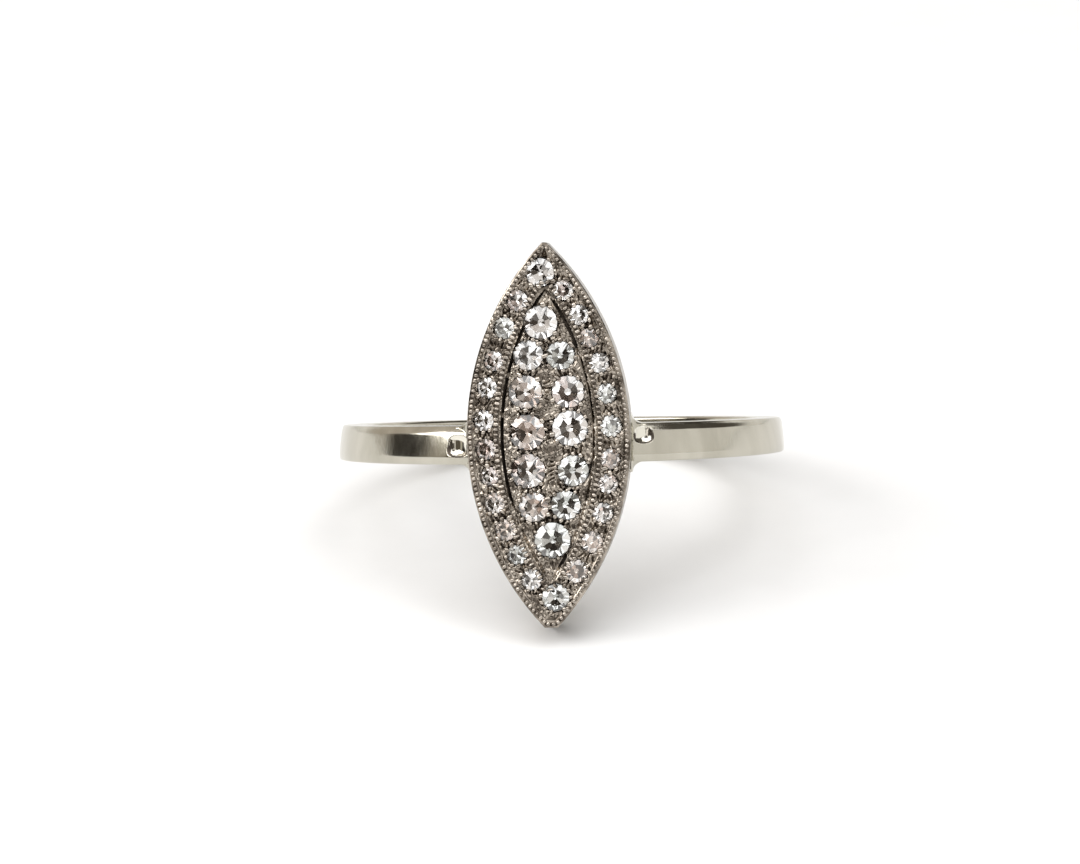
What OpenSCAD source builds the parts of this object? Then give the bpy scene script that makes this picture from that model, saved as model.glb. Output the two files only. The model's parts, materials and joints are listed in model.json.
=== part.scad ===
// Navette cluster ring in white metal: a plain tapering shank, a long pointed
// head that lies along the finger, and single-cut stones set in a domed plate
// in two fields that a fine channel parts. The ring lies on its side, on the
// lower tip of its head and the back of its hoop. Millimetres, +Z up, and the
// head faces -Y. The origin is the middle of the footprint, on the surface.

/* [Hoop] */
// Inside diameter of the hoop, where the finger goes
finger_d = 17.2; // [15:0.1:22]
// Thickness of the shank, from the finger to its outer face
shank_t = 1.15; // [0.9:0.05:1.6]
// Width of the shank where it meets the head
shoulder_w = 1.64; // [1.4:0.02:2.4]
// Width of the shank at the back of the hoop
back_w = 1.32; // [1.1:0.02:1.6]
// Height of the bevel along each edge of the outer face
bevel_w = 0.3; // [0.2:0.01:0.4]
// Fall of that bevel towards the finger
bevel_t = 0.14; // [0.05:0.01:0.25]

/* [Joint of hoop and head] */
// Radius of the fillets above and below the shank at the head
flare_r = 0.45; // [0.3:0.05:0.8]
// Radius of the scoop filed across the face of the shank beside the head
scoop_r = 0.8; // [0.6:0.05:1.2]
// How far the flares and the scoop bite past the faces that they blend
blend_bite = 0.03; // [0.02:0.01:0.05]

/* [Head] */
// How far the middle of the head lies above the middle of the shank
head_offset = 0.43; // [0:0.01:1]
// Height of the crest of the plate above the inside of the hoop
head_rise = 2.6; // [2.3:0.05:3.5]
// Radius of the dome across the plate
dome_r = 10; // [8:0.1:16]
// Thickness of the plate that holds the stones
plate_t = 0.9; // [0.85:0.05:1.1]
// Thickness of the wall that carries the plate
wall_t = 0.5; // [0.4:0.05:0.7]
// Clearance between the foot of the wall and the finger
foot_gap = 0.15; // [0.05:0.05:0.4]
// How far the sides would run on past each blunt tip
tip_blunt = 0.18; // [0.1:0.01:0.3]
// How far the widest place lies below the middle of the head
belly_drop = 0.1; // [0:0.02:0.3]
// Metal between each tip stone and the tip of the head
tip_metal = 0.65; // [0.5:0.05:1]

/* [Border and panel] */
// Width of the channel around the panel
channel_w = 0.2; // [0.12:0.01:0.3]
// Depth of that channel
channel_t = 0.45; // [0.3:0.05:0.6]
// Width of the raised rims on both sides of the border
rim_w = 0.28; // [0.2:0.01:0.4]
// Height of those rims above the plate
rim_t = 0.1; // [0.05:0.01:0.15]
// How far the border stones are let into each rim
rim_bite = 0.05; // [0.02:0.01:0.08]
// Metal between the outer centre stones and the edge of the panel
panel_metal = 0.3; // [0.2:0.05:0.5]

/* [Stones] */
// Diameter of the largest centre stones
centre_d = 1.5; // [1.3:0.05:1.8]
// Diameter of the usual border stones
border_d = 0.92; // [0.8:0.02:1]
// Diameter of the stones at the two tips
tip_d = 1.2; // [1:0.05:1.4]
// Metal between two of the largest centre stones
stone_gap = 0.1; // [0.08:0.01:0.3]
// Clearance between a stone and its seat
seat_gap = 0.03; // [0.02:0.005:0.05]
// Depth of a stone's girdle below the plate
girdle_sink = 0.05; // [0.03:0.01:0.08]

/* [Cut of the stones, as shares of the diameter] */
// Width of the table
table_share = 0.62; // [0.5:0.01:0.7]
// Height of the crown
crown_share = 0.13; // [0.1:0.01:0.16]
// Thickness of the girdle where two facets meet
girdle_share = 0.085; // [0.08:0.005:0.1]
// Depth of the pavilion
pavilion_share = 0.4; // [0.36:0.01:0.42]
// Width of the hole through the plate below a stone
hole_share = 0.4; // [0.3:0.01:0.5]

/* [Hidden] */
$fn = 96;
// Sides of the large round faces
fine = 360;
// Room that cutters and trimmed stock have past the faces they make
over = shank_t;

// Centre stones, from the top down. along: place up the head, in row pitches.
// across: place from the axis, as a share of the panel's half width.
// size: diameter as a share of centre_d.
centre_stones = [
    // along, across, size
    [2.94, -0.12, 0.95],
    [2.09, -0.41, 0.84],
    [2.07, 0.32, 0.80],
    [1.13, -0.49, 0.94],
    [1.12, 0.48, 0.91],
    [0.08, -0.47, 1.00],
    [0.17, 0.51, 1.00],
    [-0.93, -0.47, 0.97],
    [-0.94, 0.56, 0.87],
    [-1.88, -0.35, 0.83],
    [-1.84, 0.38, 0.83],
    [-2.75, 0.06, 1.00],
];
// Border stones, down the left side and up the right. along: place up the
// head, as a share of its half length. side: -1 left, 1 right. drift: place
// outward from the middle of the border, and size: diameter, both as shares
// of border_d.
border_stones = [
    // along, side, drift, size
    [0.70, -1, 0.01, 0.98],
    [0.56, -1, 0.00, 0.98],
    [0.39, -1, -0.05, 0.92],
    [0.25, -1, 0.00, 0.96],
    [0.08, -1, 0.00, 0.96],
    [-0.07, -1, -0.10, 0.96],
    [-0.21, -1, -0.12, 0.87],
    [-0.35, -1, -0.08, 0.96],
    [-0.49, -1, -0.20, 0.98],
    [-0.62, -1, -0.20, 0.92],
    [-0.75, -1, -0.22, 0.96],
    [-0.71, 1, -0.08, 1.07],
    [-0.56, 1, -0.03, 0.98],
    [-0.41, 1, 0.00, 0.92],
    [-0.26, 1, -0.07, 0.90],
    [-0.13, 1, -0.09, 0.94],
    [0.04, 1, -0.09, 1.00],
    [0.21, 1, -0.12, 0.92],
    [0.37, 1, -0.12, 0.92],
    [0.50, 1, -0.18, 0.89],
    [0.62, 1, -0.14, 0.92],
    [0.75, 1, -0.19, 0.92],
];
// Tip stones. end: 1 top, -1 bottom. across: place from the axis, and size:
// diameter, both as shares of tip_d.
tip_stones = [
    // end, across, size
    [1, -0.17, 1.00],
    [-1, 0.17, 0.96],
];
// Rows of the largest centre stones that the panel is as long as
panel_rows = 7.5;
// Facets of each kind on a stone, and the turn from one stone to the next
facet_count = 8;
facet_turn = 360 / facet_count;
turn_step = facet_turn * 0.382;

// Panel and head, built outward from the stones
row_pitch = centre_d + stone_gap;
panel_l = panel_rows * row_pitch;
panel_w = 2 * centre_d + stone_gap + 2 * panel_metal;
border_w = border_d - 2 * rim_bite;
head_w = panel_w + 2 * (channel_w + 2 * rim_w + border_w);
head_l = panel_l + 2 * (channel_w + tip_d + tip_metal);

// Radii about the finger's axis
inner_r = finger_d / 2;
outer_r = inner_r + shank_t;
foot_r = inner_r + foot_gap;
crest_r = inner_r + head_rise;
// Where the face of the shank meets the side of the head
shoulder_r = sqrt(pow(outer_r, 2) - pow(head_w / 2, 2));

// Shank, width as a straight line from the back to the shoulder
function shank_half_w(r) =
    (back_w + (shoulder_w - back_w) * (r + outer_r) / (shoulder_r + outer_r)) / 2;
face_half_w = shoulder_w / 2 - bevel_w;
function bevel_fall(half_w) = (half_w - face_half_w) * bevel_t / bevel_w;

// Axis of the scoop, which leaves the side of the head and reaches down past
// the bevel, and where it comes closest to the finger
scoop_x = head_w / 2 + scoop_r - blend_bite;
scoop_floor_r = outer_r - bevel_t - blend_bite;
scoop_z = sqrt(pow(scoop_floor_r + scoop_r, 2) - pow(scoop_x, 2));
scoop_floor_x = scoop_x * scoop_floor_r / (scoop_floor_r + scoop_r);

// Flares at the head: where their round sides are centred, and where their
// stock starts, inside the wall
flare_x = head_w / 2 + flare_r - blend_bite;
flare_y = shoulder_w / 2 + flare_r - blend_bite;
flare_start_x = head_w / 2 - wall_t / 2;
// Length of the scoop, past the ends of both flares
scoop_l = 2 * (flare_y + flare_r);

// Rest: a line under the wall's lower tip and the lower edge of the hoop's back
tip_drop = head_l / 2 - head_offset;
back_half_w = shank_half_w(-outer_r);
back_r = outer_r - bevel_fall(back_half_w);
tilt = atan((tip_drop - back_half_w) / (foot_r + back_r));
lift = tip_drop * cos(tilt) - foot_r * sin(tilt);
front_y = -(crest_r + rim_t) * cos(tilt) - tip_drop * sin(tilt);
back_y = outer_r * cos(tilt) + face_half_w * sin(tilt);

function two_digits(n) = n < 10 ? str("0", n) : str(n);
function node_name(kind, i) = str(kind, "_stone_", two_digits(i + 1));
function node_names(kind, table) = [for (i = [0 : len(table) - 1]) node_name(kind, i)];

// Half width at a height y of two arcs that meet in points half_l from mid
function arc_r(half_l, half_w) = (pow(half_l, 2) + pow(half_w, 2)) / (2 * half_w);
function pointed_half_w(half_l, half_w, y) =
    let (r = arc_r(half_l, half_w), left = pow(r, 2) - pow(y, 2))
    left <= 0 ? 0 : max(0, sqrt(left) - r + half_w);

// Place of each stone on the plate as [across, along, diameter]
function centre_place(row) = [row[1] * panel_w / 2, row[0] * row_pitch, row[2] * centre_d];
function tip_place(row) = [
    row[1] * tip_d,
    row[0] * (head_l / 2 - tip_metal - tip_d / 2),
    row[2] * tip_d
];
function border_place(row) =
    let (
        y = row[0] * head_l / 2,
        outer = pointed_half_w(head_l / 2 + tip_blunt, head_w / 2, y + belly_drop),
        inner = pointed_half_w(panel_l / 2, panel_w / 2, y) + channel_w
    )
    [row[1] * ((outer + inner) / 2 + row[2] * border_d), y, row[3] * border_d];
stone_places = concat(
    [for (row = centre_stones) centre_place(row)],
    [for (row = border_stones) border_place(row)],
    [for (row = tip_stones) tip_place(row)]
);

// The upright ring, finger along Z, laid down as it rests
module at_rest() {
    translate([0, -(front_y + back_y) / 2, lift]) rotate([-tilt, 0, 0]) children();
}

// The ring seen from the front: x across, y along the finger, z out from it
module facing() {
    rotate([90, 0, 0]) children();
}

// The same, with y from the middle of the head
module facing_head() {
    facing() translate([0, head_offset, 0]) children();
}

// A stone's own frame on the dome, z out of the plate
module on_plate(place) {
    translate([0, 0, crest_r - dome_r])
        rotate([0, asin(place[0] / dome_r), 0])
            translate([0, place[1], dome_r])
                children();
}

// A pointed oval of two arcs, moved in by inset on every side
module pointed_oval(half_l, half_w, inset = 0) {
    r = arc_r(half_l, half_w);
    intersection() {
        translate([r - half_w, 0]) circle(r = r - inset, $fn = fine);
        translate([half_w - r, 0]) circle(r = r - inset, $fn = fine);
    }
}

module head_outline(inset = 0) {
    intersection() {
        translate([0, -belly_drop]) pointed_oval(head_l / 2 + tip_blunt, head_w / 2, inset);
        circle(r = head_l / 2 - inset, $fn = fine);
    }
}

module panel_outline(growth = 0) {
    pointed_oval(panel_l / 2, panel_w / 2, -growth);
}

// All that lies inside a dome which rises by rise above the plate
module under_dome(rise) {
    translate([0, 0, crest_r - dome_r])
        rotate([90, 0, 0])
            cylinder(r = dome_r + rise, h = head_l + 2 * over, center = true, $fn = fine);
}

// An outline raised from the finger's axis to past the crest of the head
module column() {
    linear_extrude(crest_r + over) children();
}

module shank() {
    wide = shank_half_w(outer_r) + blend_bite;
    reach = outer_r + over;
    intersection() {
        rotate_extrude($fn = fine)
            polygon([
                [inner_r, -wide],
                [outer_r - bevel_fall(wide), -wide],
                [outer_r, -face_half_w],
                [outer_r, face_half_w],
                [outer_r - bevel_fall(wide), wide],
                [inner_r, wide],
            ]);
        rotate([90, 0, 90])
            linear_extrude(2 * reach, center = true)
                polygon([
                    [-reach, -shank_half_w(reach)],
                    [reach, -shank_half_w(-reach)],
                    [reach, shank_half_w(-reach)],
                    [-reach, shank_half_w(reach)],
                ]);
    }
}

// A shoulder seen from the front: the end of the shank and its two flares
module shoulder_front() {
    difference() {
        translate([flare_start_x, -flare_y]) square([flare_x - flare_start_x, 2 * flare_y]);
        for (y = [-flare_y, flare_y]) translate([flare_x, y]) circle(r = flare_r);
    }
}

// It reaches out to the floor of the scoop, and up as far as its axis
module shoulder() {
    band_y = shoulder_w / 2 - blend_bite;
    intersection() {
        linear_extrude(scoop_z)
            union() {
                shoulder_front();
                translate([flare_start_x, -band_y])
                    square([scoop_floor_x - flare_start_x, 2 * band_y]);
            }
        translate([flare_start_x, -flare_y, inner_r - over])
            cube([scoop_floor_x - flare_start_x, 2 * flare_y, crest_r]);
    }
}

module scoop() {
    translate([scoop_x, 0, scoop_z])
        rotate([90, 0, 0])
            cylinder(r = scoop_r, h = scoop_l, center = true);
}

// Space for the finger below the foot of the head's wall
module finger_space() {
    rotate([90, 0, 0]) cylinder(r = foot_r, h = head_l + 2 * over, center = true, $fn = fine);
}

// Solid metal of the head up to the crest of its rims
module head_block() {
    intersection() {
        column() head_outline();
        under_dome(rim_t);
    }
}

// Hollow below the plate, open to the finger
module gallery() {
    intersection() {
        column() head_outline(wall_t);
        under_dome(-plate_t);
    }
}

// Cuts everything above a dome within an outline
module lower_to(rise) {
    difference() {
        translate([0, 0, inner_r]) column() children();
        under_dome(rise);
    }
}

// The two sunk fields and the channel between them
module border_field() {
    lower_to(0) difference() {
        head_outline(rim_w);
        panel_outline(channel_w + rim_w);
    }
}

module panel_field() {
    lower_to(0) panel_outline(channel_w / 2);
}

module channel() {
    lower_to(-channel_t) difference() {
        panel_outline(channel_w);
        panel_outline();
    }
}

// Seat of a stone: a collar round its girdle, a cone and a hole to the gallery
module seat(d) {
    girdle = girdle_share * d;
    hole_r = hole_share * d / 2;
    collar_r = d / 2 + seat_gap;
    collar_z = -girdle / 2 - seat_gap;
    cone_t = (collar_r - hole_r) * pavilion_share / 0.5;
    translate([0, 0, -girdle_sink])
        rotate_extrude()
            polygon([
                [0, -plate_t - rim_t - over],
                [hole_r, -plate_t - rim_t - over],
                [hole_r, collar_z - cone_t],
                [collar_r, collar_z],
                [collar_r, over],
                [0, over],
            ]);
}

module mount() {
    color("lightgray") at_rest() difference() {
        union() {
            facing_head() difference() {
                head_block();
                finger_space();
            }
            difference() {
                union() {
                    shank();
                    for (side = [0, 1]) mirror([side, 0, 0]) facing() difference() {
                        shoulder();
                        finger_space();
                    }
                }
                for (side = [0, 1]) mirror([side, 0, 0]) facing() scoop();
            }
        }
        facing_head() {
            gallery();
            border_field();
            panel_field();
            channel();
            for (place = stone_places) on_plate(place) seat(place[2]);
        }
    }
}

// A single-cut stone, its girdle's middle at z = 0. Facet k faces the angle
// k * facet_turn, and the girdle dips to each facet halfway along it.
function circle_point(r, angle, z) = [r * cos(angle), r * sin(angle), z];

module single_cut(d) {
    n = facet_count;
    half_girdle = girdle_share * d / 2;
    crown_z = half_girdle + crown_share * d;
    culet_z = -half_girdle - pavilion_share * d;
    bow = 1 / cos(facet_turn / 2) - 1;
    crown_dip = crown_share * d * bow / (1 - table_share);
    pavilion_dip = pavilion_share * d * bow;
    function girdle(level, dip) = [for (k = [0 : 2 * n - 1])
        circle_point(d / 2, k * facet_turn / 2, level + (k % 2 == 0 ? dip : 0))];
    points = concat(
        [for (k = [0 : n - 1])
            circle_point(table_share * d / 2, (k + 0.5) * facet_turn, crown_z)],
        girdle(half_girdle, -crown_dip),
        girdle(-half_girdle, pavilion_dip),
        [[0, 0, culet_z]]
    );
    function table_at(k) = (k + n) % n;
    function upper(k) = n + (k + 2 * n) % (2 * n);
    function lower(k) = 3 * n + (k + 2 * n) % (2 * n);
    culet = 5 * n;
    faces = concat(
        [[for (k = [n - 1 : -1 : 0]) k]],
        [for (k = [0 : n - 1])
            [table_at(k - 1), table_at(k), upper(2 * k + 1), upper(2 * k), upper(2 * k - 1)]],
        [for (k = [0 : 2 * n - 1]) [upper(k), upper(k + 1), lower(k + 1), lower(k)]],
        [for (k = [0 : n - 1]) [lower(2 * k - 1), lower(2 * k), lower(2 * k + 1), culet]]
    );
    polyhedron(points, faces);
}

module stone(i) {
    place = stone_places[i];
    color("azure") at_rest() facing_head() on_plate(place)
        translate([0, 0, -girdle_sink])
            rotate(i * turn_step)
                single_cut(place[2]);
}

mount();
for (i = [0 : len(stone_places) - 1])
    stone(i);
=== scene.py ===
# Navette ring: looks of the metal, the stones, the floor and the light.
import json
import math

import bmesh
import bpy
import numpy as np
from mathutils import Matrix, Vector


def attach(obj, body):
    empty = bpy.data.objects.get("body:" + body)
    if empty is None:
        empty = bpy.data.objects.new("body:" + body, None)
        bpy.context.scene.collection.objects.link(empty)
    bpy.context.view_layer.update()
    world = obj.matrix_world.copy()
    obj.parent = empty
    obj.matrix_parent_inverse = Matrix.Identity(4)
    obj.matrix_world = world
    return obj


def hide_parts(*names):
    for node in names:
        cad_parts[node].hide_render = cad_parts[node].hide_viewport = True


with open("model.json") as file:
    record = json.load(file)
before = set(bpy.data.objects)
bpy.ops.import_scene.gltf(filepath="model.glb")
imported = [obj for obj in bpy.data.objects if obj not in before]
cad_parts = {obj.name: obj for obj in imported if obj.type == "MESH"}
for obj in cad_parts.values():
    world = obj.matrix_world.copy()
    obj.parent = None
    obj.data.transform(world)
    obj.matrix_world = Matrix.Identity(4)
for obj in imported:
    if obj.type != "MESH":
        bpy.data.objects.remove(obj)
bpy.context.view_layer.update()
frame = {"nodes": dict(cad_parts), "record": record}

# Sizes of the ring in millimetres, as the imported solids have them
INNER_R = 8.6
OUTER_R = 9.75
FOOT_R = 8.75
SHOULDER_R = 9.127
SHOULDER_W = 1.64
BACK_W = 1.32
BEVEL_W = 0.3
BEVEL_T = 0.14
FLARE_R = 0.45
FLARE_L = 0.6
SCOOP_R = 0.8
SCOOP_X = 4.2
SCOOP_A = 9.49
BLEND_BITE = 0.03
HEAD_OFFSET = 0.43
CREST_R = 11.2
DOME_R = 10.0
PLATE_T = 0.9
WALL_T = 0.5
HEAD_HALF_L = 8.05
HEAD_HALF_W = 3.43
TIP_BLUNT = 0.18
BELLY_DROP = 0.1
PANEL_HALF_L = 6.0
PANEL_HALF_W = 1.85
CHANNEL_W = 0.2
CHANNEL_T = 0.45
RIM_W = 0.28
GIRDLE_SINK = 0.05
GIRDLE_SHARE = 0.085
PAVILION_SHARE = 0.4
HOLE_SHARE = 0.4
SEAT_GAP = 0.03
MM = 0.001

# The ring's own directions, from the hole that the finger goes through
hole = next(m for m in frame["record"]["mounts"] if m["name"] == "finger_hole")
CENTRE = np.array(hole["pos_m"], float)
ALONG = np.array(hole["axis"], float)
ALONG = ALONG / np.linalg.norm(ALONG) * (1 if ALONG[2] > 0 else -1)
ACROSS = np.array([1.0, 0.0, 0.0])
OUTWARD = np.cross(ACROSS, ALONG)
DOME_A = CREST_R - DOME_R

# Random draws for the graver's cuts, the beads and the grains, in that order
rng = np.random.default_rng(7)


def to_world(points):
    """Points across, along the finger and out from it, in mm, as places in the frame."""
    p = np.asarray(points, float)
    return CENTRE + MM * (p[:, :1] * ACROSS + p[:, 1:2] * ALONG + p[:, 2:3] * OUTWARD)


def from_world(points):
    p = (np.asarray(points, float) - CENTRE) / MM
    return np.stack([p @ ACROSS, p @ ALONG, p @ OUTWARD], axis=1)


def grid_faces(rows, columns, closed=False):
    """Quads of points laid row by row; closed joins the last column to the first."""
    r = np.arange(rows - 1)[:, None]
    c = np.arange(columns if closed else columns - 1)[None, :]
    nxt = (c + 1) % columns
    quads = np.stack([r * columns + c, r * columns + nxt,
                      (r + 1) * columns + nxt, (r + 1) * columns + c], axis=-1)
    return quads.reshape(-1, 4)


def make_piece(name, points, faces, materials, slots=None, sharp=None):
    """A mesh piece of the mount from points in mm and faces, smooth but for sharp edges."""
    mesh = bpy.data.meshes.new(name)
    mesh.from_pydata(to_world(points).tolist(), [], [[int(i) for i in f] for f in faces])
    for material in materials:
        mesh.materials.append(material)
    if slots is not None:
        mesh.polygons.foreach_set("material_index", np.asarray(slots, np.int32))
    mesh.shade_smooth()
    if sharp is not None:
        mesh.set_sharp_from_angle(angle=math.radians(sharp))
    mesh.update()
    piece = bpy.data.objects.new(name, mesh)
    bpy.context.scene.collection.objects.link(piece)
    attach(piece, "root")
    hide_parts("mount")


def waves(u, v, size, count, seed):
    """Smooth unevenness between about -1 and 1, whose waves are about size long."""
    r = np.random.default_rng(seed)
    total = np.zeros(np.broadcast(u, v).shape)
    for _ in range(count):
        turn, phase = r.uniform(0, 2 * math.pi, 2)
        k = 2 * math.pi / (size * r.uniform(0.7, 1.4))
        total = total + np.sin(k * (u * math.cos(turn) + v * math.sin(turn)) + phase)
    return total / math.sqrt(count)


# Materials

def new_material(name):
    material = bpy.data.materials.new(name)
    material.use_nodes = True
    return material, material.node_tree.nodes, material.node_tree.links


def noise_ramp(nodes, links, scale, detail, stops, vector=None):
    """Noise turned into colours by stops, each a noise value and its colour."""
    noise = nodes.new("ShaderNodeTexNoise")
    noise.inputs["Scale"].default_value = scale
    noise.inputs["Detail"].default_value = detail
    if vector is not None:
        links.new(vector, noise.inputs["Vector"])
    ramp = nodes.new("ShaderNodeValToRGB")
    ramp.color_ramp.elements[0].position = stops[0][0]
    ramp.color_ramp.elements[0].color = (*stops[0][1], 1)
    ramp.color_ramp.elements[1].position = stops[-1][0]
    ramp.color_ramp.elements[1].color = (*stops[-1][1], 1)
    for place, colour in stops[1:-1]:
        ramp.color_ramp.elements.new(place).color = (*colour, 1)
    links.new(noise.outputs["Fac"], ramp.inputs["Fac"])
    return ramp.outputs["Color"]


def grey(v):
    return (v, v, v)


# Noise values between which a metal's colour and its gloss run
COLOUR_SPREAD = (0.35, 0.65)
GLOSS_SPREAD = (0.3, 0.7)
# How much finer the patches of gloss are than those of colour
GLOSS_FINENESS = 2.6
BUMP_HEIGHT = 0.00001


def metal(name, dark, light, size, rough, bump, bump_size, stretch=(1, 1, 1)):
    """Metal that varies between two colours and two roughnesses in patches of size metres."""
    material, nodes, links = new_material(name)
    shader = nodes["Principled BSDF"]
    shader.inputs["Metallic"].default_value = 1.0
    place = nodes.new("ShaderNodeTexCoord")
    mapping = nodes.new("ShaderNodeMapping")
    mapping.inputs["Scale"].default_value = stretch
    links.new(place.outputs["Object"], mapping.inputs["Vector"])
    vector = mapping.outputs["Vector"]
    stops = list(zip(COLOUR_SPREAD, (dark, light)))
    colour = noise_ramp(nodes, links, 1 / size, detail=4, stops=stops, vector=vector)
    links.new(colour, shader.inputs["Base Color"])
    stops = list(zip(GLOSS_SPREAD, map(grey, rough)))
    gloss = noise_ramp(nodes, links, GLOSS_FINENESS / size, detail=5, stops=stops,
                       vector=vector)
    links.new(gloss, shader.inputs["Roughness"])
    fine = nodes.new("ShaderNodeTexNoise")
    fine.inputs["Scale"].default_value = 1 / bump_size
    fine.inputs["Detail"].default_value = 3
    links.new(vector, fine.inputs["Vector"])
    lift = nodes.new("ShaderNodeBump")
    lift.inputs["Strength"].default_value = bump
    lift.inputs["Distance"].default_value = BUMP_HEIGHT
    links.new(fine.outputs["Fac"], lift.inputs["Height"])
    links.new(lift.outputs["Normal"], shader.inputs["Normal"])
    return material


POLISHED = metal("polished_white_gold", (0.47, 0.445, 0.375), (0.57, 0.545, 0.47), size=0.004,
                 rough=(0.10, 0.20), bump=0.32, bump_size=0.0003, stretch=(3, 3, 0.6))
# Painted highlight: a lighter copy of the polished gold, for the insides of the shank's hollows
HOLLOW_HIGHLIGHT = metal("hollow_painted_highlight", (0.80, 0.77, 0.68), (0.88, 0.855, 0.77), size=0.002,
               rough=(0.05, 0.1), bump=0.2, bump_size=0.0002)
AGED = metal("aged_white_metal", (0.09, 0.074, 0.059), (0.48, 0.427, 0.364), size=0.0007,
             rough=(0.05, 0.2), bump=1.0, bump_size=0.00014)
BEADED = metal("worn_beads", (0.15, 0.127, 0.104), (0.66, 0.6, 0.53), size=0.0004,
               rough=(0.08, 0.2), bump=0.6, bump_size=0.0001)
WALL = metal("worn_head_wall", (0.27, 0.245, 0.212), (0.37, 0.342, 0.298), size=0.002,
             rough=(0.24, 0.38), bump=0.4, bump_size=0.0003)
INSIDE = metal("unpolished_inside", (0.36, 0.33, 0.28), (0.52, 0.48, 0.42), size=0.002,
               rough=(0.3, 0.5), bump=0.6, bump_size=0.0003)
# Painted shade: near-black metal laid in crevices, between beads, beside stones and at the foot
# of the shank's hollows
CREVICE_SHADE = metal("crevice_painted_shade", (0.05, 0.042, 0.034), (0.17, 0.142, 0.117), size=0.0003,
                rough=(0.25, 0.5), bump=0.6, bump_size=0.0001)
# Painted shade: near-black metal for the floor of the channel's deep recess
RECESS_SHADE = metal("recess_painted_shade", (0.06, 0.048, 0.038), (0.2, 0.165, 0.135), size=0.0004,
             rough=(0.5, 0.8), bump=0.5, bump_size=0.0001)

DIAMOND_INDEX = 2.417
# How strongly a stone's colour follows where it is, and how strongly the painted light and shade
# of its facets follow the way they face
TINT_BY_PLACE = 420.0
PAINTED_FACET_LIGHT = 2.3


def diamond(name, tints_and_facet_light):
    """Clear stone with a colour of its own, whose facets are painted slightly lighter or darker
    by the way they face, as painted reflections.
    """
    material, nodes, links = new_material(name)
    shader = nodes["Principled BSDF"]
    shader.inputs["Transmission Weight"].default_value = 1.0
    shader.inputs["IOR"].default_value = DIAMOND_INDEX
    shader.inputs["Roughness"].default_value = 0.0
    shape = nodes.new("ShaderNodeNewGeometry")
    place = nodes.new("ShaderNodeTexCoord")
    scaled = nodes.new("ShaderNodeVectorMath")
    scaled.operation = "SCALE"
    scaled.inputs["Scale"].default_value = TINT_BY_PLACE
    links.new(place.outputs["Object"], scaled.inputs[0])
    mixed = nodes.new("ShaderNodeVectorMath")
    mixed.operation = "MULTIPLY_ADD"
    mixed.inputs[1].default_value = (PAINTED_FACET_LIGHT,) * 3
    links.new(shape.outputs["True Normal"], mixed.inputs[0])
    links.new(scaled.outputs[0], mixed.inputs[2])
    # Painted reflections: the colour changes from facet to facet by the way each faces
    stone_and_facet_tone = noise_ramp(nodes, links, 1.0, detail=1, stops=tints_and_facet_light, vector=mixed.outputs[0])
    links.new(stone_and_facet_tone, shader.inputs["Base Color"])
    return material


# For each kind of stone the noise value and colour of its dark, middling and light facets; the
# dark and light facets are painted reflections
DIAMOND_TINTS_AND_FACET_LIGHT = {
    "diamond_white": [(0.42, (0.70, 0.66, 0.63)), (0.50, (0.93, 0.92, 0.90)),
                      (0.58, (1, 1, 1))],
    "diamond_rose": [(0.44, (0.42, 0.32, 0.28)), (0.50, (0.83, 0.77, 0.73)),
                     (0.57, (1, 0.99, 0.97))],
    "diamond_grey": [(0.43, (0.38, 0.39, 0.36)), (0.50, (0.78, 0.79, 0.77)),
                     (0.58, (0.99, 1, 0.99))],
    "diamond_brown": [(0.44, (0.36, 0.27, 0.22)), (0.50, (0.72, 0.64, 0.58)),
                      (0.57, (0.98, 0.95, 0.92))],
}
DIAMONDS = [diamond(name, tints_and_facet_light) for name, tints_and_facet_light in DIAMOND_TINTS_AND_FACET_LIGHT.items()]

# Stones: where each sits, and its material
STONE_SEED = 11
stone_places = []
for node in sorted(n for n in frame["nodes"] if n != "mount"):
    stone = bpy.data.objects[node]
    co = np.empty(len(stone.data.vertices) * 3)
    stone.data.vertices.foreach_get("co", co)
    p = from_world(co.reshape(-1, 3))
    mid = (p.max(axis=0) + p.min(axis=0)) / 2
    d = p[:, 1].max() - p[:, 1].min()
    far = p[np.argmin(np.hypot(p[:, 0], p[:, 2] - DOME_A))]
    phi = math.atan2(far[0], far[2] - DOME_A)
    stone_places.append((math.sin(phi) * DOME_R, far[1], d, node))
kinds = np.arange(len(stone_places)) % len(DIAMONDS)
kinds = np.random.default_rng(STONE_SEED).permutation(kinds)
for (_, _, _, node), kind in zip(stone_places, kinds):
    stone = bpy.data.objects[node]
    for slot in stone.material_slots:
        slot.material = DIAMONDS[kind]
seat_x = np.array([s[0] for s in stone_places])
seat_y = np.array([s[1] for s in stone_places]) - HEAD_OFFSET
seat_d = np.array([s[2] for s in stone_places])

# Outlines of the head, in mm across and along from its middle

# Half width that an outline keeps at its tips, so that no face shrinks to a line
THIN = 0.004
# Least divisor, against dividing by zero
TINY = 1e-6
PANEL_R = (PANEL_HALF_L ** 2 + PANEL_HALF_W ** 2) / (2 * PANEL_HALF_W)
HEAD_ARC_L = HEAD_HALF_L + TIP_BLUNT
HEAD_R = (HEAD_ARC_L ** 2 + HEAD_HALF_W ** 2) / (2 * HEAD_HALF_W)


def panel_growth(x, y):
    """How far outside the panel's edge a place is."""
    return np.hypot(np.abs(x) + PANEL_R - PANEL_HALF_W, y) - PANEL_R


def head_inset(x, y):
    """How far inside the head's edge a place is."""
    side = HEAD_R - np.hypot(np.abs(x) + HEAD_R - HEAD_HALF_W, y + BELLY_DROP)
    return np.minimum(side, HEAD_HALF_L - np.hypot(x, y))


def along_side(count):
    """Shares of the way up a side, closer together at both tips."""
    u = np.linspace(0, 1, count)
    return 0.75 * u + 0.25 * (1 - np.cos(math.pi * u)) / 2


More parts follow.
